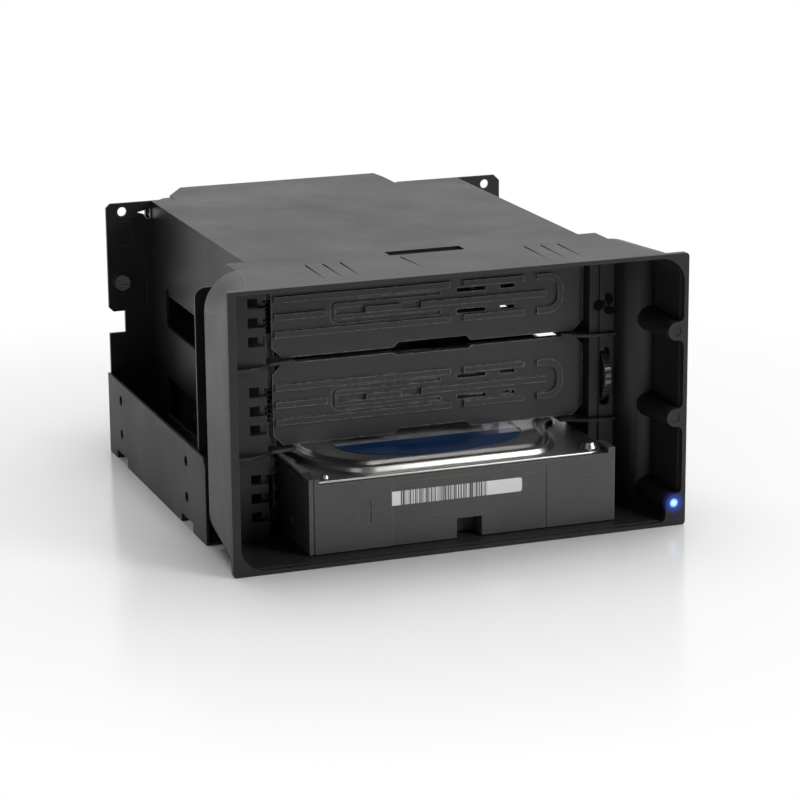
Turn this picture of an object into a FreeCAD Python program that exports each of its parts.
import FreeCAD, Part
import math
import os
import re
import Sketcher

# Hot swap drive cage: three bays for 3.5-inch drives in the space of two 5.25-inch bays.
# Millimetres. X runs across the front, Y runs from the front to the rear, Z runs up.
# Inside this file y = 0 is the front plate's face; shift_y then centres the whole depth.

SIZES = {
    # front plate and the hood behind it
    "plate_w": 149.5,
    "plate_h": 88,
    "plate_t": 2.2,
    "plate_round": 1.2,
    "lip_near": 2.6,
    "lip_far": 1.4,
    "lip_low": 1.3,
    "opening_round": 8,
    "hood_depth": 30,
    "hood_wall": 1.8,
    "hood_skin": 1.4,
    "hood_front_round": 7,
    "hood_rear_round": 12,
    "hood_draft": 1.4,
    "hood_inset": 0.3,
    # indicator lamps at the right edge of the opening
    "lamp_x": 70.9,
    "lamp_z": 7.4,
    "lamp_hole_r": 1.55,
    "lamp_tab_r": 2.9,
    "lamp_tab_fillet": 2,
    "lamp_boss_r": 5,
    "pipe_r": 1.45,
    "pipe_nose": 5.5,
    "pipe_tail_r": 1,
    "pipe_lean": 2.5,
    # drive bays
    "bay_pitch": 27.9,
    "floor_z": 2,
    "rail_t": 1,
    "drive_w": 101.6,
    "drive_h": 26.1,
    "drive_l": 147,
    "drive_front": 7,
    "drive_right": 53.4,
    "drive_lift": 0.1,
    # fascia behind the hood, carrying the doors
    "fascia_y": 28,
    "fascia_t": 2.5,
    "fascia_gap": 0.2,
    "collar_wall": 1.6,
    "collar_rear": 43.4,
    "comb_w": 5.6,
    "comb_h": 3.2,
    "comb_pitch": 6,
    # swing doors
    "door_y": 33,
    "door_t": 2.6,
    "door_w": 104.5,
    "door_left": -51,
    "door_gap": 0.3,
    "door_chamfer": 3.4,
    "ridge_t": 1,
    "ridge_w": 2,
    "hinge_x": -52.4,
    "hinge_y": 35.9,
    "hinge_rod_r": 1,
    "barrel_r": 1.7,
    "running_gap": 0.05,
    # fan speed wheel
    "wheel_r": 9.2,
    "wheel_t": 2,
    "wheel_x": 57.9,
    "wheel_out": 3.2,
    # sheet metal
    "sheet_t": 1,
    "tray_w": 146,
    "tray_front": 34,
    "flange_h": 28,
    "side_hole_r": 1.7,
    "side_hole_y": 55.4,
    "side_hole_step_y": 79.25,
    "side_hole_z": 10,
    "side_hole_step_z": 11.84,
    "cage_w": 112,
    "cage_top": 87,
    "cage_front": 44,
    "cage_rear": 150,
    "strip_w": 124,
    "strip_front": 31,
    # rear board, fan and its bracket
    "board_gap": 4,
    "board_t": 1.6,
    "bracket_y": 165,
    "fan_w": 80,
    "fan_t": 15,
    "fan_x": -7.5,
    "fan_z": 41.5,
    "fan_bore_r": 38,
    "fan_hole_step": 71.5,
    "fan_hole_r": 2.2,
    "hub_r": 19,
    "blade_r": 35.6,
}

FORMULAS = {
    "depth_all": "bracket_y + sheet_t + fan_t",
    "shift_y": "-depth_all / 2",
    "half_w": "plate_w / 2",
    "open_left": "lip_near - half_w",
    "open_right": "half_w - lip_far",
    "open_top": "plate_h - lip_low",
    "tab_side": "open_right - lamp_tab_fillet - lamp_x",
    "tab_reach": "sqrt((lamp_tab_r + lamp_tab_fillet) ^ 2 - tab_side ^ 2)",
    "tab_share": "lamp_tab_r / (lamp_tab_r + lamp_tab_fillet)",
    "tab_join_x": "lamp_x + tab_side * tab_share",
    "tab_join_z": "tab_reach * tab_share",
    "bay_clear": "bay_pitch - rail_t",
    "bays_top": "floor_z + 2 * bay_pitch + bay_clear",
    "drive_left": "drive_right - drive_w",
    "drive_z": "floor_z + drive_lift",
    "drive_rear": "drive_front + drive_l",
    "fascia_half": "half_w - hood_inset - hood_draft - hood_wall - fascia_gap",
    "fascia_low": "hood_inset + hood_skin + fascia_gap",
    "fascia_high": "plate_h - hood_inset - hood_skin - fascia_gap",
    "fascia_back": "fascia_y + fascia_t",
    "panel_left": "door_left - 3.4",
    "jamb_right": "drive_right + 0.5",
    "inner_half": "cage_w / 2 - sheet_t",
    "collar_half": "cage_w / 2",
    "collar_top": "cage_top - sheet_t",
    "door_h": "bay_clear - 2 * door_gap",
    "wheel_y": "fascia_y - wheel_out + wheel_r",
    "wheel_z": "floor_z + bay_pitch + bay_clear / 2",
    "lamp_board_y": "wheel_y + 3",
    "board_y": "drive_rear + board_gap",
    "board_back": "board_y + board_t",
    "plug_x": "drive_right - 32",
    "fan_y": "bracket_y + sheet_t",
}

doc = FreeCAD.newDocument("HotSwapDriveCage")
sheet = doc.addObject("Spreadsheet::Sheet", "Dims")
NAMES = list(SIZES) + list(FORMULAS)
for row, (name, value) in enumerate(list(SIZES.items()) + list(FORMULAS.items()), 1):
    text = "=" + value if isinstance(value, str) else str(value)
    sheet.set("A%d" % row, text)
    sheet.setAlias("A%d" % row, name)
doc.recompute()

PARTS = []
PLANES = {"top": "XY_Plane", "front": "XZ_Plane", "side": "YZ_Plane"}


def bound(text):
    """The expression with every size name pointed at the sheet."""
    return re.sub(r"[a-z]\w*", lambda m: "Dims." + m[0] if m[0] in NAMES else m[0], str(text))


def number(text):
    """The value of an expression at the present sizes."""
    value = sheet.evalExpression(str(text))
    return float(getattr(value, "Value", value))


def keep(obj, label, at=("0", "0", "0")):
    """Name a finished sub-part and place its own origin, with the depth centred on Y = 0."""
    obj.Label = label
    obj.setExpression("Placement.Base.x", bound(at[0]))
    obj.setExpression("Placement.Base.y", bound("shift_y + " + at[1]))
    obj.setExpression("Placement.Base.z", bound(at[2]))
    PARTS.append(obj)
    return obj


# ---------------------------------------------------------------- sketch helpers


def trace(sketch, corners):
    """Close a path through the corners. A third value bends the stretch after its corner
    by that radius: positive turns left, negative turns right."""
    if corners[0] == "circle":
        _, x, y, radius = corners
        at = FreeCAD.Vector(number(x), number(y), 0)
        g = sketch.addGeometry(Part.Circle(at, FreeCAD.Vector(0, 0, 1), number(radius)), False)
        pin(sketch, g, 3, x, y)
        limit(sketch, Sketcher.Constraint("Radius", g, number(radius)), radius)
        return
    ends = []
    for i, corner in enumerate(corners):
        after = corners[(i + 1) % len(corners)]
        a = FreeCAD.Vector(number(corner[0]), number(corner[1]), 0)
        b = FreeCAD.Vector(number(after[0]), number(after[1]), 0)
        if len(corner) == 2:
            g = sketch.addGeometry(Part.LineSegment(a, b), False)
            ends.append((g, 1, 2))
        else:
            ends.append(bend(sketch, a, b, corner[2]))
        pin(sketch, g if len(corner) == 2 else ends[-1][0], ends[-1][1], corner[0], corner[1])
    for i, (g, _, end) in enumerate(ends):
        following, start, _ = ends[(i + 1) % len(ends)]
        sketch.addConstraint(Sketcher.Constraint("Coincident", g, end, following, start))


def bend(sketch, a, b, radius):
    """A short arc from a to b; returns its index and its start and end point numbers."""
    size = number(radius)
    chord = b - a
    rise = math.sqrt(max(size**2 - chord.Length**2 / 4, 0))
    side = FreeCAD.Vector(-chord.y, chord.x, 0).normalize() * math.copysign(rise, size)
    centre = (a + b) * 0.5 + side
    first, last = (a, b) if size > 0 else (b, a)
    start = math.atan2(first.y - centre.y, first.x - centre.x)
    stop = math.atan2(last.y - centre.y, last.x - centre.x)
    circle = Part.Circle(centre, FreeCAD.Vector(0, 0, 1), abs(size))
    g = sketch.addGeometry(Part.ArcOfCircle(circle, start, stop), False)
    limit(sketch, Sketcher.Constraint("Radius", g, abs(size)), "abs(%s)" % radius)
    return (g, 1, 2) if size > 0 else (g, 2, 1)


def limit(sketch, constraint, text):
    """Add a dimension and bind it to its expression."""
    index = sketch.addConstraint(constraint)
    sketch.setExpression("Constraints[%d]" % index, bound(text))


def pin(sketch, g, point, x, y):
    """Hold a point at its distances from the sketch's origin."""
    limit(sketch, Sketcher.Constraint("DistanceX", -1, 1, g, point, number(x)), x)
    limit(sketch, Sketcher.Constraint("DistanceY", -1, 1, g, point, number(y)), y)


def rect(x, y, w, h):
    """A rectangle from its lower left corner."""
    x2, y2 = "(%s) + (%s)" % (x, w), "(%s) + (%s)" % (y, h)
    return [(x, y), (x2, y), (x2, y2), (x, y2)]


def rounded(x, y, w, h, r):
    """A rectangle with rounded corners, from its lower left corner."""
    x2, y2 = "(%s) + (%s)" % (x, w), "(%s) + (%s)" % (y, h)
    low_x, low_y = "(%s) + (%s)" % (x, r), "(%s) + (%s)" % (y, r)
    high_x, high_y = "%s - (%s)" % (x2, r), "%s - (%s)" % (y2, r)
    return [
        (low_x, y), (high_x, y, r), (x2, low_y), (x2, high_y, r),
        (high_x, y2), (low_x, y2, r), (x, high_y), (x, low_y, r),
    ]


def circle(x, y, r):
    return ("circle", x, y, r)


def new_body(name):
    return doc.addObject("PartDesign::Body", name)


def draw(body, plane, at, *outlines):
    """A sketch of closed outlines on one of the body's own planes, moved to the point at."""
    x, y, z = at
    sketch = body.newObject("Sketcher::SketchObject", body.Name + "_sketch")
    origin = next(f for f in body.Origin.OriginFeatures if f.Role == PLANES[plane])
    sketch.AttachmentSupport = (origin, [""])
    sketch.MapMode = "FlatFace"
    offset = {"top": (x, y, z), "front": (x, z, "-(%s)" % y), "side": (y, z, x)}[plane]
    for axis, text in zip("xyz", offset):
        sketch.setExpression("AttachmentOffset.Base." + axis, bound(text))
    for outline in outlines:
        trace(sketch, outline)
    return sketch


def pad(body, plane, at, length, *outlines):
    """Add material from the sketch towards +Z, +Y or +X."""
    feature = body.newObject("PartDesign::Pad", body.Name + "_pad")
    return extrude(body, feature, plane == "front", draw(body, plane, at, *outlines), length)


def cut(body, plane, at, length, *outlines):
    """Take material away from the sketch towards +Z, +Y or +X."""
    feature = body.newObject("PartDesign::Pocket", body.Name + "_cut")
    return extrude(body, feature, plane != "front", draw(body, plane, at, *outlines), length)


def extrude(body, feature, reverse, sketch, length):
    feature.Profile = sketch
    feature.Reversed = reverse
    feature.setExpression("Length", bound(length))
    sketch.Visibility = False
    body.Tip = feature
    return feature


def loft(body, kind, first, second):
    """Blend two sketches, adding or taking material."""
    feature = body.newObject("PartDesign::" + kind, body.Name + "_loft")
    feature.Profile = first
    feature.Sections = [second]
    body.Tip = feature
    return feature


# ---------------------------------------------------------------- primitive helpers


def placed(obj, at, turn=(0, 0, 0)):
    """Bind a primitive's corner or centre and turn it (yaw, pitch, roll in degrees)."""
    obj.Placement = FreeCAD.Placement(FreeCAD.Vector(), FreeCAD.Rotation(*turn))
    for axis, text in zip("xyz", at):
        obj.setExpression("Placement.Base." + axis, bound(text))
    return obj


def block(at, size):
    obj = doc.addObject("Part::Box", "block")
    for side, text in zip(("Length", "Width", "Height"), size):
        obj.setExpression(side, bound(text))
    return placed(obj, at)


def rod(at, radius, length, along="Y", swing=0):
    """A round bar from a point, running up or towards +X or +Y, swung about the upright."""
    obj = doc.addObject("Part::Cylinder", "rod")
    obj.setExpression("Radius", bound(radius))
    obj.setExpression("Height", bound(length))
    turn = {"X": (0, 90, 0), "Y": (swing, 0, -90), "Z": (0, 0, 0)}[along]
    return placed(obj, at, turn)


def fuse(*shapes):
    obj = doc.addObject("Part::MultiFuse", "joined")
    obj.Shapes = list(shapes)
    return obj


def less(base, *tools):
    obj = doc.addObject("Part::Cut", "trimmed")
    obj.Base = base
    obj.Tool = fuse(*tools) if len(tools) > 1 else tools[0]
    return obj


def group(*shapes):
    """Identical loose pieces kept side by side as separate solids."""
    obj = doc.addObject("Part::Compound", "group")
    obj.Links = list(shapes)
    return obj


def bay_z(k):
    """The floor of bay k, counted from the bottom."""
    return "(floor_z + %d * bay_pitch)" % k


def lamp_height(k):
    return "(lamp_z + %d * bay_pitch)" % k


# ---------------------------------------------------------------- front bezel


def lamp_tab(k, lowest):
    """The right edge of the opening where it swells round an indicator lamp."""
    z = lamp_height(k)
    foot = "(lamp_x - lamp_tab_r)"
    if lowest:
        start = [
            (foot + " - lamp_tab_fillet", "lip_low", "lamp_tab_fillet"),
            (foot, "lip_low + lamp_tab_fillet"),
        ]
    else:
        start = [
            ("open_right", z + " - tab_reach", "lamp_tab_fillet"),
            ("tab_join_x", z + " - tab_join_z", "-lamp_tab_r"),
        ]
    return start + [
        (foot, z, "-lamp_tab_r"),
        ("tab_join_x", z + " + tab_join_z", "lamp_tab_fillet"),
        ("open_right", z + " + tab_reach"),
    ]


def bezel_opening():
    """The opening through the front plate, with its lamp tabs on the right."""
    tabs = [corner for k in range(3) for corner in lamp_tab(k, k == 0)]
    return [("open_left + opening_round", "lip_low")] + tabs + [
        ("open_right", "open_top - opening_round", "opening_round"),
        ("open_right - opening_round", "open_top"),
        ("open_left", "open_top"),
        ("open_left", "lip_low + opening_round", "opening_round"),
    ]


def hood_section(body, y, side_in, low_in, high_in, r):
    """A rounded outline across the hood, set in from the plate's edges."""
    w = "plate_w - 2 * (%s)" % side_in
    h = "plate_h - (%s) - (%s)" % (low_in, high_in)
    return draw(body, "front", ("0", y, "0"), rounded("(%s) - half_w" % side_in, low_in, w, h, r))


def front_bezel():
    """Thin plate with the opening, and a tapering hood whose corners widen to the rear."""
    body = new_body("Bezel")
    plate = rounded("-half_w", "0", "plate_w", "plate_h", "plate_round")
    pad(body, "front", ("0", "0", "0"), "plate_t", plate)
    near = "hood_inset", "hood_inset", "hood_inset", "hood_front_round"
    far = "hood_inset + hood_draft", "hood_inset", "hood_inset", "hood_rear_round"
    loft(body, "AdditiveLoft", hood_section(body, "plate_t", *near),
         hood_section(body, "hood_depth", *far))
    near = ("hood_inset + hood_wall", "hood_inset + hood_skin", "hood_inset + hood_skin",
            "hood_front_round - hood_skin")
    far = ("hood_inset + hood_draft + hood_wall", "hood_inset + hood_skin",
           "hood_inset + hood_skin", "hood_rear_round - hood_skin")
    loft(body, "SubtractiveLoft", hood_section(body, "plate_t", *near),
         hood_section(body, "hood_depth", *far))
    cut(body, "front", ("0", "0", "0"), "plate_t", bezel_opening())
    lamps = [circle("lamp_x", lamp_height(k), "lamp_hole_r") for k in range(3)]
    cut(body, "front", ("0", "0", "0"), "plate_t", *lamps)
    hood_flutes(body)
    return keep(body, "front_bezel")


def hood_flutes(body):
    """Two groups of three shallow flutes in the top of the hood, each narrowing to a point
    as it runs forward, and one more that starts beside the clip window and leans."""
    flutes = [(start + 5.6 * i, 0, 23.5) for start in (-41.5, 31) for i in range(3)]
    flutes.append((-10.5, 2.2, 19))
    for x, lean, reach in flutes:
        outline = [
            ("%g" % x, "hood_depth"),
            ("%g" % (x + lean + 0.1), "hood_depth - %g" % reach),
            ("%g" % (x + 0.9), "hood_depth"),
        ]
        cut(body, "top", ("0", "0", "plate_h - hood_inset - 0.5"), "1", outline)


# ---------------------------------------------------------------- fascia


def fascia_outline():
    return rounded("-fascia_half", "fascia_low", "2 * fascia_half", "fascia_high - fascia_low",
                   "hood_rear_round - hood_skin")


def bay_fascia():
    """Inner moulding behind the hood: comb panel, coved panel and the collar round the doors."""
    body = new_body("Fascia")
    pad(body, "front", ("0", "fascia_y", "0"), "fascia_t", fascia_outline())
    collar = rect("-collar_half", "sheet_t", "2 * collar_half", "collar_top - sheet_t")
    pad(body, "front", ("0", "fascia_back", "0"), "collar_rear - fascia_back", collar)
    cove(body)
    window = rect("panel_left", "floor_z", "jamb_right - panel_left", "bays_top - floor_z")
    cut(body, "front", ("0", "fascia_y - 1", "0"), "collar_rear", window)
    sill = rect("panel_left", "0", "jamb_right - panel_left", "floor_z")
    cut(body, "front", ("0", "fascia_y", "0"), "fascia_t + 0.1", sill)
    comb_slots(body)
    for level in (1, 2):
        divider_fins(body, bay_z(level) + " - rail_t")
    hinge_lugs(body)
    wheel_slot(body)
    bosses(body)
    return keep(body, "bay_fascia")


def cove(body):
    """The right panel sweeps forward to the hood's side, and a tapering boss reaches from it
    to each lamp tab; both stop just short of the hood's inner skin."""
    start = "fascia_half - 9"
    outline = [
        (start, "fascia_y", "9"),
        ("fascia_half + 0.6", "fascia_y - 9"),
        ("fascia_half + 0.6", "fascia_y + 1"),
        (start, "fascia_y + 1"),
    ]
    pad(body, "top", ("0", "0", "fascia_low"), "fascia_high - fascia_low", outline)
    for k in range(3):
        front = circle("lamp_x", lamp_height(k), "lamp_tab_r")
        rear = circle("lamp_x", lamp_height(k), "lamp_boss_r")
        loft(body, "AdditiveLoft", draw(body, "front", ("0", "plate_t + 0.1", "0"), front),
             draw(body, "front", ("0", "fascia_y + 1", "0"), rear))
    loft(body, "SubtractiveLoft",
         outside_hood(body, "plate_t", "hood_inset", "hood_front_round"),
         outside_hood(body, "hood_depth", "hood_inset + hood_draft", "hood_rear_round"))
    bores = [circle("lamp_x", lamp_height(k), "lamp_hole_r") for k in range(3)]
    cut(body, "front", ("0", "plate_t", "0"), "pipe_nose", *bores)
    channel = [
        ("lamp_x - 1.5", "pipe_nose + 1.2"),
        ("lamp_x + 6", "pipe_nose + 1.2"),
        ("lamp_x + 6", "fascia_back + 0.1"),
        ("lamp_x - pipe_lean - 1.2", "fascia_back + 0.1"),
    ]
    for k in range(3):
        cut(body, "top", ("0", "0", lamp_height(k) + " - 1.4"), "2.8", channel)


def outside_hood(body, y, side_in, r):
    """Everything outside the hood's inner skin, less a small gap."""
    in_x = "(%s + hood_wall + fascia_gap)" % side_in
    in_z = "(hood_inset + hood_skin + fascia_gap)"
    beyond = rect("-plate_w", "-plate_h", "2 * plate_w", "3 * plate_h")
    inner = rounded("%s - half_w" % in_x, in_z, "plate_w - 2 * %s" % in_x,
                    "plate_h - 2 * %s" % in_z, "%s - hood_skin" % r)
    return draw(body, "front", ("0", y, "0"), beyond, inner)


def comb_slots(body):
    """Three short slots beside each bay, open towards the hinge."""
    slots = []
    for k in range(3):
        middle = bay_z(k) + " + bay_clear / 2"
        for step in (-1, 0, 1):
            low = "%s + %d * comb_pitch - comb_h / 2" % (middle, step)
            slots.append(rect("panel_left - comb_w", low, "comb_w + 1", "comb_h"))
    cut(body, "front", ("0", "fascia_y", "0"), "fascia_t", *slots)


def divider_fins(body, z):
    """A blade at each side between two bays, its front edge scooped out."""
    left = [
        ("panel_left - 11", "fascia_back"),
        ("panel_left - 11", "fascia_y - 3.5"),
        ("panel_left - 6", "fascia_y - 3.5", "16"),
        ("panel_left + 2", "fascia_back - 1"),
        ("panel_left + 10", "fascia_back"),
        ("panel_left + 10", "collar_rear - 4"),
        ("panel_left", "collar_rear - 4"),
        ("panel_left", "fascia_back"),
    ]
    right = [
        ("jamb_right - 9", "fascia_back"),
        ("jamb_right - 6", "fascia_back - 1", "18"),
        ("jamb_right + 11", "fascia_y - 0.4"),
        ("jamb_right + 11", "fascia_y + 1"),
        ("jamb_right", "fascia_back"),
        ("jamb_right", "collar_rear - 4"),
        ("jamb_right - 9", "collar_rear - 4"),
    ]
    pad(body, "top", ("0", "0", z), "rail_t", left)
    pad(body, "top", ("0", "0", z), "rail_t", right)


def hinge_lugs(body):
    """Ears for the hinge rod under the lowest door and over the highest; bores in all four."""
    reach = rect("panel_left", "fascia_back", "hinge_x + barrel_r - panel_left",
                 "hinge_y + barrel_r - fascia_back")
    pad(body, "top", ("0", "0", "bays_top - 0.2"), "collar_top - bays_top + 0.2", reach)
    bore = circle("hinge_x", "hinge_y", "hinge_rod_r + running_gap")
    cut(body, "top", ("0", "0", "sheet_t"), "bays_top - sheet_t + 0.5", bore)


def wheel_slot(body):
    """Upright slot for the fan speed wheel, with a finger recess beside it."""
    low = "wheel_z - 9.5"
    opening = rounded("wheel_x - 0.7", low, "wheel_t + 1.4", "19", "1.2")
    cut(body, "front", ("0", "fascia_y - 1", "0"), "fascia_t + 2", opening)
    recess = rounded("wheel_x + wheel_t + 2.6", low, "2.2", "19", "1")
    cut(body, "front", ("0", "fascia_y", "0"), "1", recess)
    jamb = rect("jamb_right", "floor_z", "3.2", "bays_top - floor_z")
    cut(body, "front", ("0", "fascia_y", "0"), "0.8", jamb)


BOSSES = [("-66", "12"), ("-66", "72"), ("60", "12"), ("60", "72")]


def bosses(body):
    """Screw bosses that carry the fascia on the cage's front flanges."""
    posts = [circle(x, z, "2.6") for x, z in BOSSES]
    holes = [circle(x, z, "1.5") for x, z in BOSSES]
    pad(body, "front", ("0", "fascia_back", "0"), "cage_front - fascia_back", *posts)
    cut(body, "front", ("0", "fascia_back + 1", "0"), "cage_front - fascia_back - 1", *holes)
    pegs = [circle("68.5", z, "2") for z in ("24", "58")]
    pad(body, "front", ("0", "fascia_back", "0"), "lamp_board_y - fascia_back", *pegs)


def pan_screw(x, y, z, length, radius="1.4", towards=-1):
    """A pan-head screw along Y: its head starts at y, its shank runs the way given."""
    back = "%s - (%s)" % (y, length) if towards < 0 else y
    head = y if towards < 0 else "%s - 1.8" % y
    return fuse(rod((x, back, z), radius, length), rod((x, head, z), "%s * 1.9" % radius, "1.8"))


def bezel_screws():
    y = "(cage_front + sheet_t)"
    return keep(group(*[pan_screw(x, y, z, "9") for x, z in BOSSES]), "bezel_screws")


# ---------------------------------------------------------------- lamps and fan speed wheel


def light_pipe(k):
    """Clear rod carrying a lamp's light to the front: straight at first, then leaning in."""
    nose = rod(("lamp_x", "0.3", lamp_height(k)), "pipe_r", "pipe_nose - 0.3")
    run = "(fascia_back + 0.8 - pipe_nose + 0.6)"
    swing = math.degrees(math.atan(number("pipe_lean - 0.2") / number(run)))
    tail = rod(("lamp_x - 0.2", "pipe_nose - 0.6", lamp_height(k)), "pipe_tail_r",
               "sqrt((pipe_lean - 0.2) ^ 2 + %s ^ 2)" % run, "Y", swing)
    return keep(fuse(nose, tail), "light_pipe_%d" % (3 - k))


def lamp_board():
    """Narrow circuit board behind the fascia for the lamps and the fan speed control."""
    body = new_body("LampBoard")
    outline = rect("63.2", "3", "8.6", "lamp_z + 2 * bay_pitch + 2")
    holes = [circle("68.5", z, "0.8") for z in ("24", "58")]
    pad(body, "front", ("0", "lamp_board_y", "0"), "board_t", outline, *holes)
    return keep(body, "lamp_board")


def lamps():
    """Three round lamps standing on the lamp board, each facing its light pipe."""
    x, foot_y, nose_y = "(lamp_x - pipe_lean)", "(lamp_board_y - 4)", "(fascia_back + 1.2)"
    bulbs = []
    for k in range(3):
        foot = rod((x, foot_y, lamp_height(k)), "1.9", "lamp_board_y - %s" % foot_y)
        nose = rod((x, nose_y, lamp_height(k)), "1.5", "lamp_board_y - %s" % nose_y)
        bulbs.append(fuse(foot, nose))
    return keep(group(*bulbs), "lamps")


def wheel_control():
    """Rotary control on the lamp board; its spindle carries the wheel."""
    depth = "6"
    x = "(wheel_x + wheel_t + 1.2)"
    case = block((x, "lamp_board_y - %s" % depth, "wheel_z - 4"), ("5", depth, "8"))
    spindle = rod(("wheel_x - 0.5", "wheel_y", "wheel_z"), "1.5", "%s - wheel_x + 1" % x, "X")
    return keep(fuse(case, spindle), "speed_control")


def thumb_wheel():
    """Thin notched disc on its own spindle axis; it pokes out through the fascia."""
    body = new_body("Wheel")
    rim = circle("0", "0", "wheel_r")
    pad(body, "side", ("0", "0", "0"), "wheel_t", rim, circle("0", "0", "1.5 + running_gap"))
    nick = cut(body, "side", ("-0.1", "0", "0"), "wheel_t + 0.2",
               rect("wheel_r - 0.4", "-0.35", "1", "0.7"))
    around(body, nick, "X_Axis", 30)
    return keep(body, "speed_wheel", ("wheel_x", "wheel_y", "wheel_z"))


def around(body, feature, role, count):
    """Repeat a feature evenly about one of the body's own axes."""
    pattern = body.newObject("PartDesign::PolarPattern", body.Name + "_ring")
    pattern.Originals = [feature]
    pattern.Axis = (next(f for f in body.Origin.OriginFeatures if f.Role == role), [""])
    pattern.Angle = 360
    pattern.Occurrences = count
    body.Tip = pattern
    return pattern


# ---------------------------------------------------------------- swing doors


def door_outline():
    """The leaf seen from the front: cut corners, and a finger notch in both long edges."""
    c = "door_chamfer"
    return [
        (c, "0"), ("40", "0"), ("41.6", "1.6"), ("64.4", "1.6"), ("66", "0"),
        ("door_w - " + c, "0"), ("door_w", c), ("door_w", "door_h - " + c),
        ("door_w - " + c, "door_h"), ("66", "door_h"), ("65.2", "door_h - 0.8"),
        ("40.8", "door_h - 0.8"), ("40", "door_h"), (c, "door_h"), ("0", "door_h - " + c),
        ("0", c),
    ]


def rib(x, length, middle):
    """The outline of one straight rib centred on a height."""
    return rect(x, "%s - ridge_w / 2" % middle, length, "ridge_w")


def door(k):
    """A flap that fills one bay: looped ribs, grooves and vent slots on its face, and a
    two-part barrel along its left edge. Built from its own lower left corner."""
    body = new_body("Door%d" % (k + 1))
    middle = "door_h / 2"
    here = ("0", "0", "0")
    pad(body, "front", here, "door_t", door_outline())
    pad(body, "front", ("0", "-ridge_t", "0"), "ridge_t", loop("0.8", "97.2", "6.5", "5.5"))
    inside = loop("0.7", "97.2 - ridge_w", "6.5 - ridge_w", "3.5")
    cut(body, "front", ("0", "-ridge_t", "0"), "ridge_t", inside)
    ribs = [rib("0.8", "17", middle), rib("30.5", "11.8", middle), rib("48.9", "42.5", middle)]
    pad(body, "front", ("0", "-ridge_t", "0"), "ridge_t", *ribs)
    cut(body, "front", here, "0.7", groove(middle))
    dips = [rib("21.2", "9.3", middle), rib("42.3", "6.6", middle)]
    cut(body, "front", here, "0.7", *dips)
    vents = []
    for side in (-3.4, 3.4):
        for x, length in (("61.2", "9.7"), ("75.9", "5")):
            vents.append(rect(x, "%s %+g - 0.6" % (middle, side), length, "1.2"))
    cut(body, "front", here, "door_t", *vents)
    gaps = []
    for side in (-5.5, 5.5):
        for x in ("58.8", "83.8"):
            gaps.append(rect(x, "%s %+g - 1.1" % (middle, side), "4.4", "2.2"))
    cut(body, "front", ("0", "-ridge_t", "0"), "ridge_t", *gaps)
    barrel(body)
    return body


def loop(left, right, reach, r):
    """The outline of a band square at its left end and round at its right."""
    low, high = "door_h / 2 - (%s)" % reach, "door_h / 2 + (%s)" % reach
    turn = "%s - %s" % (right, r)
    return [(left, low), (turn, low, r), (right, "%s + %s" % (low, r)),
            (right, "%s - %s" % (high, r), r), (turn, high), (left, high)]


def groove(middle):
    """A C-shaped groove open to the right, 1.1 wide, round the left end of the middle line."""
    left, right = "19.3", "55.6"
    return [
        (right, middle + " + 3.7"),
        (left + " + 2", middle + " + 3.7", "2"),
        (left, middle + " + 1.7"),
        (left, middle + " - 1.7", "2"),
        (left + " + 2", middle + " - 3.7"),
        (right, middle + " - 3.7"),
        (right, middle + " - 2.6"),
        (left + " + 2", middle + " - 2.6", "-0.9"),
        (left + " + 1.1", middle + " - 1.7"),
        (left + " + 1.1", middle + " + 1.7", "-0.9"),
        (left + " + 2", middle + " + 2.6"),
        (right, middle + " + 2.6"),
    ]


def barrel(body):
    """Hinge barrel at the leaf's left edge, in two lengths with the spring between them."""
    x, y = "(hinge_x - door_left)", "(hinge_y - door_y)"
    neck = [(x, y + " + 0.6"), (x, y + " - 1.1"), ("1", "0.6"), ("1", "door_t")]
    ring = [circle(x, y, "barrel_r")]
    pad(body, "top", ("0", "0", "0"), "door_h", neck)
    pad(body, "top", ("0", "0", "0"), "door_h", *ring)
    gap = rect("%s - barrel_r - 0.5" % x, "%s - barrel_r - 1" % y, "2 * barrel_r + 0.6", "6")
    cut(body, "top", ("0", "0", "door_h / 2 - 5.4"), "10.8", gap)
    leg_slot = rect("-1", "%s - 1.75" % y, "5", "4")
    cut(body, "top", ("0", "0", "door_h / 2 + 3.7"), "1.8", leg_slot)
    bore = circle(x, y, "hinge_rod_r + running_gap")
    cut(body, "top", ("0", "0", "-0.1"), "door_h + 0.2", bore)


def closed_door(k, label):
    return keep(door(k), label, ("door_left", "door_y", bay_z(k) + " + door_gap"))


def folded_door(k, label):
    """The lowest door, swung in by a right angle and lying along the drive's left side."""
    body = door(k)
    body.Placement = FreeCAD.Placement(FreeCAD.Vector(), FreeCAD.Rotation(90, 0, 0))
    x = "hinge_x + (hinge_y - door_y)"
    y = "hinge_y + (door_left - hinge_x)"
    return keep(body, label, (x, y, bay_z(k) + " + door_gap"))


def hinge_rod():
    """One rod carries all the doors; it stands on the tray inside the fascia's collar."""
    bar = rod(("0", "0", "0"), "hinge_rod_r", "bays_top + 0.3 - sheet_t", "Z")
    return keep(bar, "hinge_rod", ("hinge_x", "hinge_y", "sheet_t + 0.1"))


WIRE_R = 0.3
COIL_PITCH = 1.5


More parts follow.
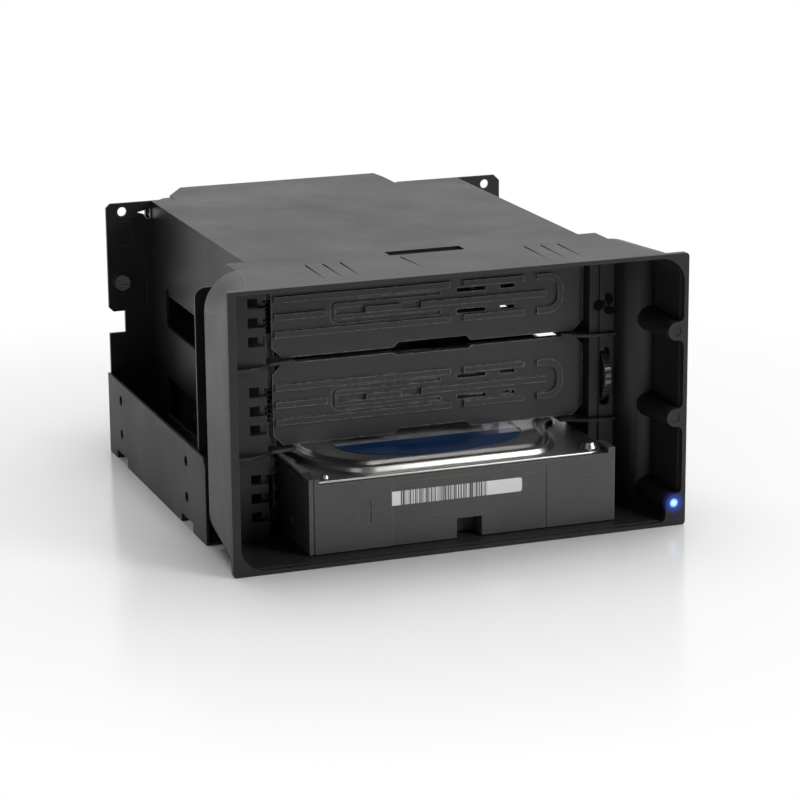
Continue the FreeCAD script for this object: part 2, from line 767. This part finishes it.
def door_spring(k, folded):
    """Torsion spring round the hinge rod, between the two lengths of a door's barrel. One
    leg lies along the collar's wall, the other in the slot in the back of the leaf; folding
    the door in winds it by another quarter turn."""
    turns = 6.5 if folded else 6.25
    height = turns * COIL_PITCH
    coil_r = number("hinge_rod_r + running_gap") + WIRE_R + 0.05
    helix = Part.makeHelix(COIL_PITCH, height, coil_r)
    ring = Part.Wire(Part.makeCircle(WIRE_R, FreeCAD.Vector(coil_r, 0, 0), FreeCAD.Vector(0, 1, 0)))
    coil = Part.Wire(helix).makePipeShell([ring], True, True)
    wall_leg = Part.makeCylinder(WIRE_R, 5, FreeCAD.Vector(coil_r, 0, 0), FreeCAD.Vector(0, -1, 0))
    turn = 2 * math.pi * turns
    end = FreeCAD.Vector(coil_r * math.cos(turn), coil_r * math.sin(turn), height)
    ahead = FreeCAD.Vector(-math.sin(turn), math.cos(turn), 0)
    leaf_leg = Part.makeCylinder(WIRE_R, 5, end, ahead)
    obj = doc.addObject("Part::Feature", "Spring%d" % (k + 1))
    obj.Shape = coil.fuse([wall_leg, leaf_leg])
    obj.Placement = FreeCAD.Placement(FreeCAD.Vector(), FreeCAD.Rotation(180, 0, 0))
    low = "%s + bay_clear / 2 - %g" % (bay_z(k), height / 2)
    return keep(obj, "door_spring_%d" % (3 - k), ("hinge_x", "hinge_y", low))


# ---------------------------------------------------------------- sheet metal


def side_windows():
    """Two long openings in each of the cage's side walls, one above the other."""
    return [rounded("cage_front + 6", low, "85", "13.5", "1") for low in ("15", "46")]


def cage_shell():
    """Folded cover and side walls, with front flanges, feet and a tongue over the fan."""
    body = new_body("Shell")
    half, strip = "cage_w / 2", "strip_w / 2"
    cover = [
        ("-" + strip, "strip_front"), (strip, "strip_front"), (strip, "cage_front - 0.8"),
        (half, "cage_front - 0.8"), (half, "cage_rear"), ("fan_x + fan_w / 2", "cage_rear"),
        ("fan_x + fan_w / 2", "bracket_y - 3"), ("fan_x + fan_w / 2 - 0.8", "bracket_y + 5"),
        ("fan_x - fan_w / 2 + 7.5", "bracket_y + 5"), ("fan_x - fan_w / 2", "cage_rear + 7"),
        ("fan_x - fan_w / 2", "cage_rear"),
        ("-" + half, "cage_rear"), ("-" + half, "cage_front - 0.8"),
        ("-" + strip, "cage_front - 0.8"),
    ]
    clip = rect("-11", "strip_front + 4.5", "25", "5.5")
    pad(body, "top", ("0", "0", "collar_top"), "sheet_t", cover, clip)
    wall = rect("cage_front", "sheet_t", "cage_rear - cage_front", "cage_top - sheet_t")
    for x in ("-cage_w / 2", "cage_w / 2 - sheet_t"):
        pad(body, "side", (x, "0", "0"), "sheet_t", wall, *side_windows())
    flange_w = "tray_w / 2 - sheet_t - 0.1 - cage_w / 2"
    height = "80"
    for x, side in (("-(%s) - cage_w / 2" % flange_w, -1), ("cage_w / 2", 1)):
        corner = "3.5"
        x2 = "(%s) + (%s)" % (x, flange_w)
        if side < 0:
            outline = [(x, "sheet_t"), (x2, "sheet_t"), (x2, height),
                       ("%s + %s" % (x, corner), height, corner), (x, "%s - %s" % (height, corner))]
        else:
            outline = [(x, "sheet_t"), (x2, "sheet_t"), (x2, "%s - %s" % (height, corner), corner),
                       ("(%s) - %s" % (x2, corner), height), (x, height)]
        pad(body, "front", ("0", "cage_front", "0"), "sheet_t", outline)
    holes = [circle(x, z, "1.6") for x, z in BOSSES]
    cut(body, "front", ("0", "cage_front", "0"), "sheet_t", *holes)
    for x in ("-cage_w / 2 - 9", "cage_w / 2"):
        for y in FEET:
            foot = rect(x, y + " - 6", "9", "12")
            pad(body, "top", ("0", "0", "sheet_t"), "sheet_t", foot)
    cut(body, "top", ("0", "0", "sheet_t"), "sheet_t", *[circle(x, y, "1.6") for x, y in FOOT_HOLES])
    return keep(body, "cage_shell")


FEET = ["70", "115"]
FOOT_HOLES = [(x, y) for x in ("-cage_w / 2 - 5", "cage_w / 2 + 5") for y in FEET]
BEND_SLOTS = ["side_hole_y", "side_hole_y + side_hole_step_y"]


def tray():
    """Folded floor with the two side flanges that screw into the computer's drive bay."""
    body = new_body("Tray")
    rear = "cage_rear + sheet_t"
    floor = rect("-tray_w / 2", "tray_front", "tray_w", rear + " - tray_front")
    holes = [circle(x, y, "1.6") for x, y in FOOT_HOLES]
    pad(body, "top", ("0", "0", "0"), "sheet_t", floor, *holes)
    flange = [
        ("tray_front", "0"), (rear, "0"), (rear, "flange_h"),
        ("tray_front + 2.5", "flange_h"), ("tray_front", "flange_h - 2.5"),
    ]
    screws = [
        circle("side_hole_y + %d * side_hole_step_y" % i,
               "side_hole_z + %d * side_hole_step_z" % j, "side_hole_r")
        for i in (0, 1) for j in (0, 1)
    ]
    for x in ("-tray_w / 2", "tray_w / 2 - sheet_t"):
        pad(body, "side", (x, "0", "0"), "sheet_t", flange)
        cut(body, "side", (x, "0", "0"), "sheet_t", *screws)
    slots = [
        rect(x, y + " - 6.5", "4", "13")
        for x in ("-tray_w / 2", "tray_w / 2 - 4") for y in BEND_SLOTS
    ]
    cut(body, "top", ("0", "0", "0"), "3", *slots)
    return keep(body, "tray")


FEET_SCREWS = [(x, z) for x in ("drive_left - 19", "drive_right + 13.8") for z in ("17.5", "59.5")]
SEAT = "0.4"


def rear_plate():
    """Flat plate across the back with ears, an opening for the drives and fixing holes."""
    body = new_body("RearPlate")
    edge = "(tray_w / 2 - sheet_t)"
    outline = [
        ("-" + edge, "sheet_t"), (edge, "sheet_t"), (edge, "42"),
        (edge + " - 5.6", "42"), (edge + " - 5.6", "49"), (edge, "49"),
        (edge, "cage_top - 2"), (edge + " - 2", "cage_top"),
        ("fan_x + fan_w / 2 + 1", "cage_top"), ("fan_x + fan_w / 2 + 1", "collar_top"),
        ("fan_x - fan_w / 2 - 1", "collar_top"), ("fan_x - fan_w / 2 - 1", "cage_top"),
        ("1.5 - " + edge, "cage_top"), ("-" + edge, "cage_top - 1.5"),
        ("-" + edge, "51"), ("1.5 - " + edge, "49.5"), ("5.6 - " + edge, "49.5"), ("5.6 - " + edge, "42"),
        ("-" + edge, "42"),
    ]
    opening = rounded("drive_left - 1.2", "floor_z - 0.2", "drive_w + 2.2",
                      "bays_top - floor_z + 0.2", "1")
    pad(body, "front", ("0", "cage_rear", "0"), "sheet_t", outline, opening)
    holes = [circle(x, "84", "1.6") for x in ("-66.4", "66.4")]
    holes += [circle(x, z, "1.3") for x, z in SPACERS]
    holes += [circle(x, z, "1.5") for x, z in FEET_SCREWS]
    window = [("-61.2", "83.4"), ("-56.5", "84.4"), ("-56.5", "81"), ("-58", "81"),
              ("-58.8", "82.6")]
    cut(body, "front", ("0", "cage_rear", "0"), "sheet_t", window, *holes)
    seats = [circle(x, z, "3") for x, z in FEET_SCREWS]
    cut(body, "front", ("0", "cage_rear", "0"), SEAT, *seats)
    recesses = [rounded("-69.2", "50.5", "10.7", "21.4", "2"), rounded("61.2", "52", "8", "17", "2"),
                rounded("-69", "80.8", "8", "0.8", "0.3"), circle("-66", "75.8", "3.2")]
    for recess in recesses:
        cut(body, "front", ("0", "cage_rear", "0"), SEAT, recess)
    return keep(body, "rear_plate")


def guide_rail(k, side):
    """Moulded angle that carries one edge of a drive: a shelf and an upright web."""
    name = "left" if side < 0 else "right"
    body = new_body("Rail_%s_%d" % (name, k))
    z = bay_z(k) + " - rail_t"
    high = bay_z(k) + " + 7"
    wall, web = "inner_half", "(jamb_right + 0.1)"
    if side < 0:
        web = "(inner_half - 0.9)"
        reach = "drive_left + 4"
        profile = [("-" + wall, z), (reach, z), (reach, bay_z(k)), ("-" + web, bay_z(k)),
                   ("-" + web, high), ("-" + wall, high)]
    else:
        reach = "drive_right - 8"
        profile = [(reach, z), (wall, z), (wall, high), (web, high), (web, bay_z(k)),
                   (reach, bay_z(k))]
    pad(body, "front", ("0", "cage_front", "0"), "cage_rear - cage_front - 1", profile)
    if side < 0:
        stop = rect("-%s" % web, bay_z(k), "drive_left - 0.4 + %s" % web, "6")
        pad(body, "front", ("0", "cage_rear - 7", "0"), "6", stop)
    return keep(body, "guide_rail_%s_%d" % (name, 3 - k))


def cage_screws():
    """Four screws up through the tray into the cage's feet, heads on the feet."""
    screws = []
    for x, y in FOOT_HOLES:
        shank = rod((x, y, "0.1"), "1.45", "2 * sheet_t - 0.1", "Z")
        head = rod((x, y, "2 * sheet_t"), "2.8", "1.7", "Z")
        screws.append(fuse(shank, head))
    return keep(group(*screws), "cage_screws")


# ---------------------------------------------------------------- rear board and sockets

SPACERS = [(x, z) for x in ("drive_left - 4.6", "drive_right + 4.2") for z in ("6", "81")]


def backplane():
    """Upright circuit board behind the bays, with long openings that let the air through."""
    body = new_body("Backplane")
    outline = rect("drive_left - 7.8", "3", "drive_w + 15.6", "81")
    holes = [circle(x, z, "1.6") for x, z in SPACERS]
    pad(body, "front", ("0", "board_y", "0"), "board_t", outline, *holes)
    air = []
    for k in range(3):
        air.append(rounded("drive_left + 12", bay_z(k) + " + 3", "36", "8", "2"))
        air.append(rounded("drive_left + 12", bay_z(k) + " + 14", "52", "8", "2"))
    cut(body, "front", ("0", "board_y", "0"), "board_t", *air)
    return keep(body, "backplane_board")


def spacers():
    """Four hexagonal spacers between the rear plate and the board."""
    posts = []
    for x, z in SPACERS:
        post = doc.addObject("Part::Prism", "post")
        post.Polygon = 6
        post.Circumradius = 2.6
        post.setExpression("Height", bound("board_y - cage_rear - sheet_t"))
        placed(post, (x, "cage_rear + sheet_t", z), (0, 0, -90))
        stud = rod((x, "cage_rear - 1", z), "1.25", "sheet_t + 2")
        bore = rod((x, "board_y - 4", z), "1.3", "5")
        posts.append(less(fuse(post, stud), bore))
    return keep(group(*posts), "board_spacers")


def board_screws():
    screws = [pan_screw(x, "board_back", z, "4", "1.25") for x, z in SPACERS]
    return keep(group(*screws), "board_screws")


def drive_socket(k):
    """Receptacle on the board that the drive's plug slides onto, with a slot for its blades."""
    z = "(%s + drive_lift)" % bay_z(k)
    base = block(("plug_x - 20", "board_y - 2", z + " + 0.6"), ("40", "2", "6.8"))
    nose = block(("plug_x - 17.6", "board_y - 8", z + " + 2.2"), ("35.2", "6", "3.6"))
    slot = block(("plug_x - 17.2", "board_y - 8.1", z + " + 3.2"), ("34.4", "5", "1.6"))
    return keep(less(fuse(base, nose), slot), "drive_socket_%d" % (3 - k))


def data_socket(k):
    """Small keyed data socket on the back of the board."""
    x, z = "(drive_right - 4)", bay_z(k) + " + 6"
    shell = block((x, "board_back", z), ("6", "8.4", "12.6"))
    hollow = block((x + " + 1", "board_back + 2", z + " + 1"), ("2.6", "7", "10.6"))
    key = block((x + " + 3", "board_back + 2", z + " + 1"), ("2", "7", "3"))
    blade = block((x + " + 1.8", "board_back + 1.5", z + " + 3"), ("1", "6", "7"))
    return keep(fuse(less(shell, hollow, key), blade), "data_socket_%d" % (3 - k))


def power_socket(i):
    """Four-pin power socket on the back of the board, standing upright."""
    x, z = "(drive_right - 18)", "(12 + %d * 38)" % i
    shell = block((x, "board_back", z), ("9.4", "10", "22.4"))
    hollow = block((x + " + 1.2", "board_back + 1.5", z + " + 1.2"), ("7", "9", "20"))
    pins = [rod((x + " + 4.7", "board_back + 1", "%s + %g" % (z, 3.6 + 5.08 * n)), "1", "7")
            for n in range(4)]
    return keep(fuse(less(shell, hollow), *pins), "power_socket_%d" % (2 - i))


# ---------------------------------------------------------------- fan and its bracket


def fan_holes(radius):
    half = "fan_hole_step / 2"
    return [circle("fan_x %s %s" % (a, half), "fan_z %s %s" % (b, half), radius)
            for a in "+-" for b in "+-"]


def fan_bracket():
    """Folded plate behind the board: a round opening for the fan, feet on the rear plate."""
    body = new_body("Bracket")
    left, right = "(drive_left - 9)", "(drive_right + 8.8)"
    outline = [
        (left, "1.4"), (right, "1.4"), (right, "80"), ("fan_x + fan_w / 2 + 2", "80"),
        ("fan_x + fan_w / 2 - 1.5", "collar_top"), ("fan_x - fan_w / 2 + 8", "collar_top"),
        ("fan_x - fan_w / 2 + 1", "83"), (left, "78"),
    ]
    sockets = rounded("drive_right - 20", "7", "24", "70", "2")
    at = ("0", "bracket_y", "0")
    pad(body, "front", at, "sheet_t", outline, sockets,
        circle("fan_x", "fan_z", "fan_bore_r"), *fan_holes("2.2"))
    start = "cage_rear + sheet_t"
    side = rect(start, "4", "bracket_y - cage_rear", "70")
    for x in (left, right + " - sheet_t"):
        pad(body, "side", (x, "0", "0"), "sheet_t", side)
    feet = []
    for x, w in ((left + " - 14", "14"), (right, "9.4")):
        feet += [rect(x, z, w, "11") for z in ("12", "54")]
    pad(body, "front", ("0", start, "0"), "sheet_t", *feet)
    holes = [circle(x, z, "1.6") for x, z in FEET_SCREWS]
    cut(body, "front", ("0", start, "0"), "sheet_t", *holes)
    return keep(body, "fan_bracket")


def bracket_screws():
    """Four screws through the rear plate's ears into the bracket's feet."""
    y = "(cage_rear + %s)" % SEAT
    screws = [pan_screw(x, y, z, "3.2", "1.4", 1) for x, z in FEET_SCREWS]
    return keep(group(*screws), "bracket_screws")


def fan_frame():
    """Square fan frame with a round duct, a motor seat and four spokes at the back."""
    body = new_body("FanFrame")
    centre = "fan_x", "fan_z"
    square = rounded("fan_x - fan_w / 2", "fan_z - fan_w / 2", "fan_w", "fan_w", "5")
    duct = circle(*centre, "fan_bore_r")
    pad(body, "front", ("0", "fan_y", "0"), "fan_t", square, duct, *fan_holes("fan_hole_r"))
    seat = "fan_y + fan_t - 2"
    pad(body, "front", ("0", seat, "0"), "2", circle(*centre, "hub_r"))
    spokes = [
        rect("fan_x - fan_bore_r - 0.5", "fan_z - 1.5", "2 * fan_bore_r + 1", "3"),
    ]
    pad(body, "front", ("0", seat, "0"), "2", *spokes)
    upright = rect("fan_x - 1.5", "fan_z - fan_bore_r - 0.5", "3", "2 * fan_bore_r + 1")
    pad(body, "front", ("0", seat, "0"), "2", upright)
    sleeve = circle(*centre, "3.5")
    pad(body, "front", ("0", seat + " - 8", "0"), "8", sleeve)
    cut(body, "front", ("0", seat + " - 8", "0"), "9", circle(*centre, "1.5 + running_gap"))
    return keep(body, "fan_frame")


def fan_stator():
    """Motor winding core on the fan's bearing sleeve: six poles."""
    at = ("fan_x", "fan_y + fan_t - 8", "fan_z")
    core = less(rod(at, "14", "5"), rod(at, "3.5", "5"))
    slots = []
    for i in range(6):
        slot = block(("0", "0", "0"), ("3", "6", "9"))
        slot.setExpression("Placement.Base.x", bound("fan_x"))
        slot.Placement.Rotation = FreeCAD.Rotation(0, 60 * i, 0)
        angle = math.radians(60 * i)
        away = (math.cos(angle) * -1.5 + math.sin(angle) * 7, math.cos(angle) * 7
                + math.sin(angle) * 1.5)
        slot.setExpression("Placement.Base.x", bound("fan_x %+.6f" % away[0]))
        slot.setExpression("Placement.Base.y", bound("fan_y + fan_t - 8.5"))
        slot.setExpression("Placement.Base.z", bound("fan_z %+.6f" % away[1]))
        slots.append(slot)
    return keep(less(core, *slots), "fan_stator")


def fan_rotor():
    """Cup-shaped hub with seven twisted blades and the spindle that runs in the sleeve."""
    body = new_body("Rotor")
    pad(body, "front", ("0", "0", "0"), "fan_t - 4.5", circle("0", "0", "hub_r"))
    cut(body, "front", ("0", "1.6", "0"), "fan_t", circle("0", "0", "hub_r - 1.6"))
    root = [("1.2", "-5.5"), ("2.6", "-5.5"), ("10", "5.5"), ("8.6", "5.5")]
    tip = [("3", "-8.5"), ("4", "-8.5"), ("9.4", "8.5"), ("8.4", "8.5")]
    blade = loft(body, "AdditiveLoft", draw(body, "side", ("hub_r - 1.3", "0", "0"), root),
                 draw(body, "side", ("blade_r", "0", "0"), tip))
    around(body, blade, "Y_Axis", 7)
    pad(body, "front", ("0", "1", "0"), "fan_t - 3", circle("0", "0", "1.5"))
    return keep(body, "fan_rotor", ("fan_x", "fan_y + 0.8", "fan_z"))


def fan_screws():
    """Four screws from the bracket into the corners of the fan frame."""
    half = "fan_hole_step / 2"
    screws = []
    for a in "+-":
        for b in "+-":
            x, z = "fan_x %s %s" % (a, half), "fan_z %s %s" % (b, half)
            screws.append(pan_screw(x, "bracket_y", z, "8", "2.1", 1))
    return keep(group(*screws), "fan_screws")


# ---------------------------------------------------------------- the drive in the lowest bay

CASTING_H = "22"
EAR_W = "3.3"


def at_drive(x="0", y="0", z="0"):
    """A point counted from the drive's lower left front corner."""
    return ("drive_left + " + x, "drive_front + " + y, "drive_z + " + z)


def drive_base():
    """Cast housing with front ears, a shallow face panel, screw holes and a board recess."""
    body = new_body("DriveBase")
    pad(body, "top", at_drive(), CASTING_H, rect("0", "0", "drive_w", "drive_l"))
    ears = [rect("0", "0", EAR_W, "9"), rect("drive_w - 2.2", "0", "2.2", "9")]
    pad(body, "top", at_drive(z=CASTING_H), "1.8", *ears)
    notch = rect("48.2", "0", "8.4", "6.3")
    cut(body, "front", at_drive(y="-0.1"), "7", notch)
    panel = rect("26.8", "-0.1", "51.6", "20.3")
    cut(body, "front", at_drive(y="-0.1"), "0.35", panel)
    arch = [("15.9", "7.8"), ("20.1", "7.8"), ("20.1", "14.3", "2.1"), ("18", "16.4", "2.1"),
            ("15.9", "14.3")]
    cut(body, "front", at_drive(y="-0.1"), "0.35", arch)
    line = rect("1.1", "-0.1", "0.7", "24.2")
    cut(body, "front", at_drive(y="-0.1"), "0.5", line)
    holes = [circle(y, "6.35", "1.5") for y in ("16.9", "76.9", "118.5")]
    cut(body, "side", at_drive(), "4", *holes)
    cut(body, "side", at_drive(x="drive_w - 4"), "4", *holes)
    cut(body, "top", at_drive(), "2.2", rect("3", "30", "drive_w - 6", "drive_l - 42"))
    socket = rect("plug_x - drive_left - 18.7", "drive_l - 12", "37.4", "12")
    cut(body, "top", at_drive(), "7.1", socket)
    well = rounded("5", "11", "drive_w - 10", "drive_l - 16", "6")
    cut(body, "top", at_drive(z="12"), "10.1", well)
    return keep(body, "drive_base")


def drive_cover():
    """Pressed lid: a flat rim with cut corners and a raised middle with sloping sides."""
    body = new_body("DriveCover")
    rim = [
        ("EAR + 2", "0.6"), ("drive_w - 7", "0.6"), ("drive_w - 2.6", "5"),
        ("drive_w - 2.6", "9.5"), ("drive_w - 0.8", "9.5"), ("drive_w - 0.8", "drive_l - 1"),
        ("0.8", "drive_l - 1"), ("0.8", "9.5"), ("EAR + 0.4", "9.5"), ("EAR + 0.4", "2.4"),
    ]
    rim = [(x.replace("EAR", EAR_W), y) for x, y in rim]
    pad(body, "top", at_drive(z=CASTING_H), "0.9", rim)
    low, high = "4.2", "6.4"
    loft(body, "AdditiveLoft",
         draw(body, "top", at_drive(z=CASTING_H + " + 0.9"), raised(low, "9")),
         draw(body, "top", at_drive(z="drive_h - 0.1"), raised(high, "8.4")))
    return keep(body, "drive_cover")


def raised(inset, corner):
    """Outline of the lid's raised middle: cut front corners, stepped in at the right."""
    return [
        ("%s + %s" % (inset, corner), inset),
        ("drive_w - %s - 15" % inset, inset),
        ("drive_w - %s - 8" % inset, "%s + 7" % inset),
        ("drive_w - %s - 8" % inset, "%s + 16" % inset),
        ("drive_w - " + inset, "%s + 26" % inset),
        ("drive_w - " + inset, "drive_l - " + inset),
        (inset, "drive_l - " + inset),
        (inset, "%s + %s" % (inset, corner)),
    ]


def drive_cover_screws():
    """Lid screws: a large one at the front right, small ones round the rim."""
    spots = [("drive_w - 6.2", "6.4", 2.9), ("EAR + 3.4", "4.4", 1.4),
             ("drive_w - 2.6", "drive_l / 2", 1.3), ("2.6", "drive_l / 2", 1.3),
             ("drive_w - 2.6", "drive_l - 3", 1.3), ("2.6", "drive_l - 3", 1.3)]
    screws = []
    for x, y, r in spots:
        at = at_drive(x.replace("EAR", EAR_W), y, CASTING_H + " + 0.9")
        head = doc.addObject("Part::Cone", "head")
        head.Radius1, head.Radius2, head.Height = r, r * 0.7, 0.9 if r < 2 else 1.6
        placed(head, at)
        screws.append(head)
    return keep(group(*screws), "drive_cover_screws")


def drive_label():
    """Thin printed label on the lid with a bowed front edge."""
    body = new_body("DriveLabel")
    outline = [
        ("17", "19", "150"), ("80", "19"), ("83", "23"), ("83", "128"), ("14", "128"),
        ("14", "21"),
    ]
    pad(body, "top", at_drive(z="drive_h - 0.1"), "0.1", outline)
    return keep(body, "drive_label")


def drive_sticker():
    """Small sticker on the drive's front panel."""
    body = new_body("DriveSticker")
    outline = rounded("27.4", "12", "44.6", "7.4", "0.8")
    pad(body, "front", at_drive(y="0.15"), "0.1", outline)
    return keep(body, "drive_sticker")


def drive_board():
    """Controller board in the recess under the housing, with its main chip."""
    x, y, _ = at_drive("3", "30")
    board = block((x, y, "drive_z + 1"), ("drive_w - 6", "drive_l - 42", "1.2"))
    chip = block(("drive_left + 40", "drive_front + 70", "drive_z + 0.2"), ("14", "14", "0.8"))
    return keep(fuse(board, chip), "drive_board")


def drive_plug():
    """Combined data and power plug at the drive's rear: an open shell with two blades."""
    y = "(drive_rear - 12)"
    shell = block(("plug_x - 18.7", y, "drive_z + 1"), ("37.4", "12", "6.1"))
    hollow = block(("plug_x - 18", "drive_rear - 6", "drive_z + 1.8"), ("36", "6.1", "4.4"))
    data = block(("plug_x - 17", "drive_rear - 7", "drive_z + 3.4"), ("10.4", "6", "1.2"))
    power = block(("plug_x - 3.6", "drive_rear - 7", "drive_z + 3.4"), ("20.6", "6", "1.2"))
    return keep(fuse(less(shell, hollow), data, power), "drive_plug")


# ---------------------------------------------------------------- build and write


def build():
    front_bezel()
    bay_fascia()
    bezel_screws()
    for k in range(3):
        light_pipe(k)
    lamp_board()
    lamps()
    wheel_control()
    thumb_wheel()
    closed_door(2, "door_1")
    closed_door(1, "door_2")
    folded_door(0, "door_3")
    hinge_rod()
    for k in range(3):
        door_spring(k, k == 0)
    cage_shell()
    cage_screws()
    tray()
    rear_plate()
    for k in range(3):
        guide_rail(k, -1)
        guide_rail(k, 1)
    backplane()
    spacers()
    board_screws()
    for k in range(3):
        drive_socket(k)
        data_socket(k)
    for i in range(2):
        power_socket(i)
    fan_bracket()
    bracket_screws()
    fan_frame()
    fan_stator()
    fan_rotor()
    fan_screws()
    drive_base()
    drive_cover()
    drive_cover_screws()
    drive_label()
    drive_sticker()
    drive_board()
    drive_plug()


build()
doc.recompute()

for obj in doc.Objects:
    if "Invalid" in obj.State or "Error" in obj.State:
        raise RuntimeError("%s (%s) did not compute: %s" % (obj.Name, obj.Label, obj.State))
os.makedirs("parts", exist_ok=True)
for obj in PARTS:
    if obj.Shape.isNull() or not obj.Shape.isValid() or not obj.Shape.Solids:
        raise RuntimeError(obj.Label + " has no valid solid")
    if obj.TypeId != "Part::Compound" and len(obj.Shape.Solids) != 1:
        raise RuntimeError(obj.Label + " is not one solid")
    obj.Shape.exportStep("parts/%s.step" % obj.Label)
print("%d sub-parts written" % len(PARTS))
